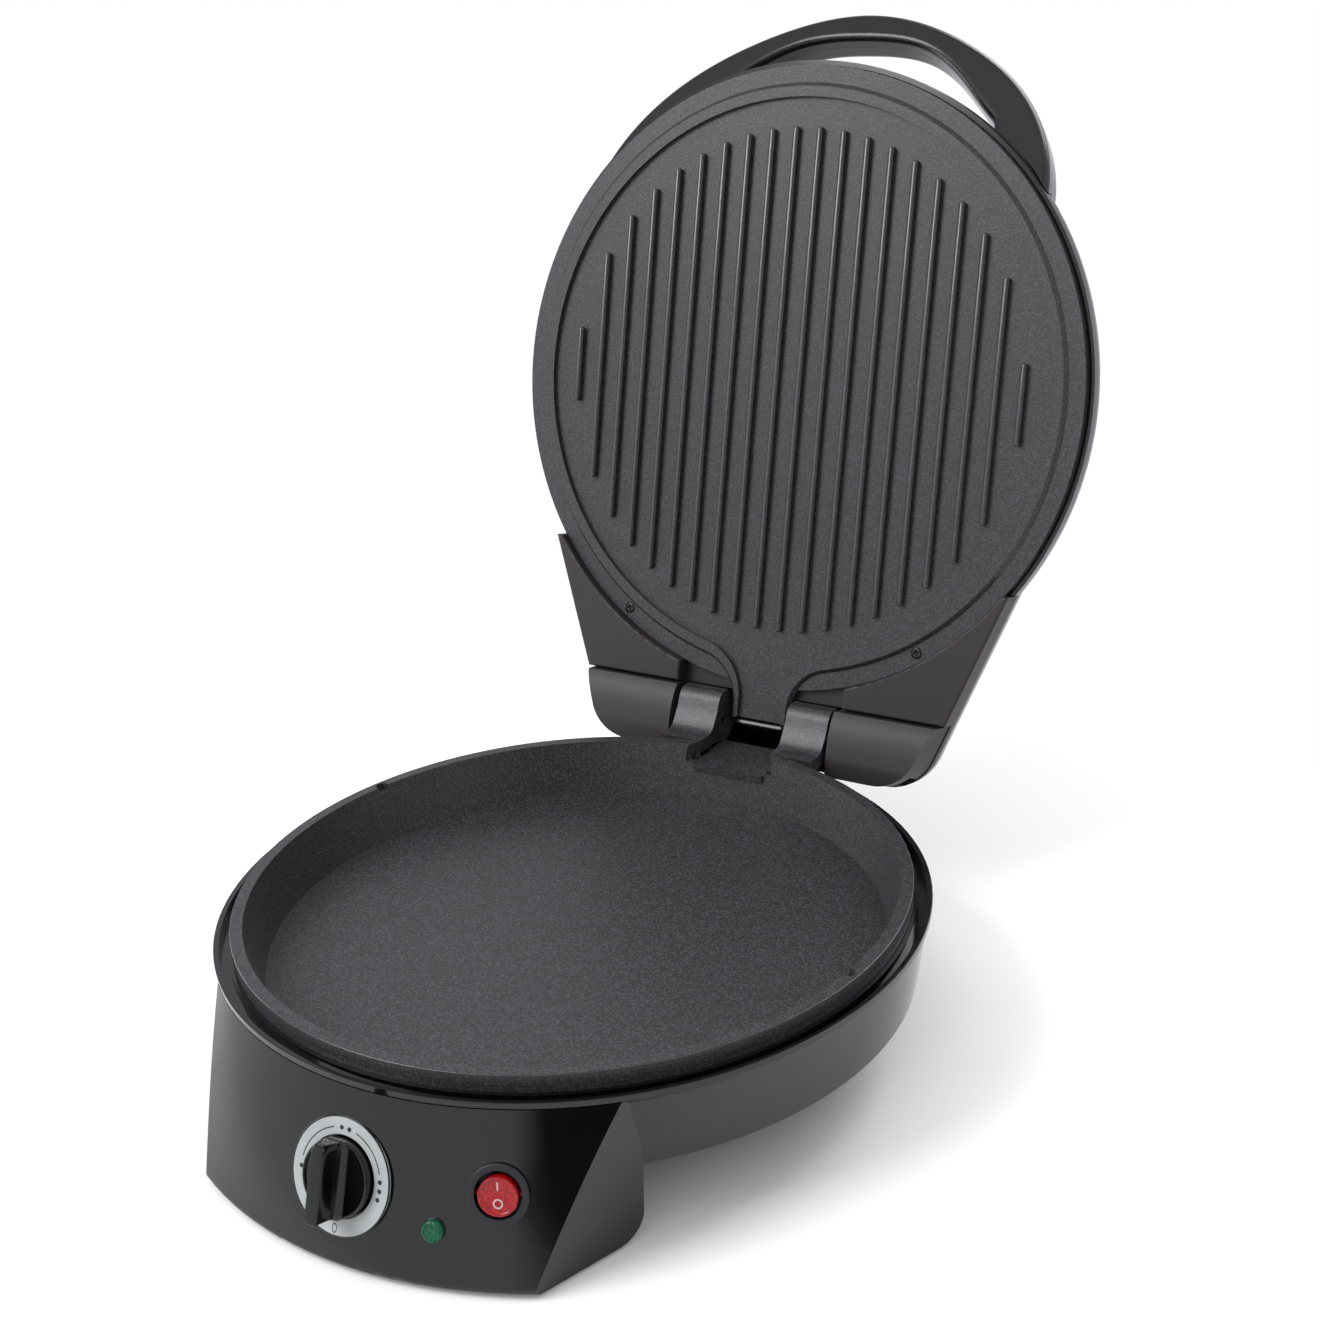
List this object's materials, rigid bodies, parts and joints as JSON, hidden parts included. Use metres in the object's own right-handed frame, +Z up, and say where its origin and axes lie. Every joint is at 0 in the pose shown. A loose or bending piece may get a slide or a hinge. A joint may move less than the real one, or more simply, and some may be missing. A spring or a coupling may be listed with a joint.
{
  "type": "electric pizza maker",
  "caption": "Round electric pizza maker with a flat heated lower pan, a hinged ribbed grill lid with an arched handle, and a front housing with dial, lamp and rocker switch.",
  "frame": {"origin": "on the table, below the middle of the whole object's footprint with the lid open", "axes": "+Z up, +Y towards the hinge at the back, +X to the user's right"},
  "size_m": [0.328, 0.5454, 0.4236],
  "materials": {
    "nonstick": "satin non-stick coating on cast aluminium",
    "gloss_black": "glossy moulded",
    "matte_black": "fine spark texture",
    "satin_black": "satin moulded",
    "rubber_black": "moulded",
    "rubber_grey": "moulded",
    "screw_steel": "zinc plated",
    "screw_dark": "blackened",
    "terminal_plastic": "moulded",
    "dial_white": "printed satin",
    "knob_black": "glossy moulded",
    "shaft_steel": "turned",
    "thermostat_steel": "pressed",
    "lamp_green": "moulded lens",
    "switch_black": "moulded",
    "rocker_red": "translucent moulded",
    "heater_steel": "sheathed tube",
    "reflector_sheet": "pressed sheet"
  },
  "bodies": {
    "base": {"lower_pan": "nonstick", "base_housing": "gloss_black", "drum_cover": "matte_black", "housing_cover": "matte_black", "rear_stand": "gloss_black", "cord_bush": "rubber_black", "front_feet": "rubber_grey", "rear_feet": "rubber_grey", "pan_screws": "screw_steel", "terminal_block": "terminal_plastic", "dial_ring": "dial_white", "thermostat": "thermostat_steel", "lamp_lens": "lamp_green", "lamp_holder": "terminal_plastic", "switch_body": "switch_black", "lower_heater": "heater_steel", "lower_reflector": "reflector_sheet"},
    "lid": {"grill_plate": "nonstick", "upper_heater": "heater_steel", "upper_reflector": "reflector_sheet", "lid_frame": "satin_black", "lid_shell": "gloss_black", "handle_cover": "satin_black", "hinge_pins": "shaft_steel", "plate_screws": "screw_dark"},
    "knob": {"knob": "knob_black", "thermostat_shaft": "shaft_steel"},
    "rocker": {"rocker": "rocker_red"}
  },
  "joints": [
    {"name": "lid_hinge", "type": "hinge", "parent": "base", "child": "lid", "pos_m": [0, 0.10595, 0.083], "axis": [1, 0, 0], "range_deg": [0, 105.54]},
    {"name": "knob_turn", "type": "hinge", "parent": "base", "child": "knob", "pos_m": [0, -0.25077, 0.037], "axis": [0, 0.9336, -0.3584], "range_deg": [0, 270]},
    {"name": "rocker_tilt", "type": "hinge", "parent": "base", "child": "rocker", "pos_m": [0.06675, -0.23375, 0.0396], "axis": [-0.9232, -0.3843, 0], "range_deg": [0, 14]}
  ]
}
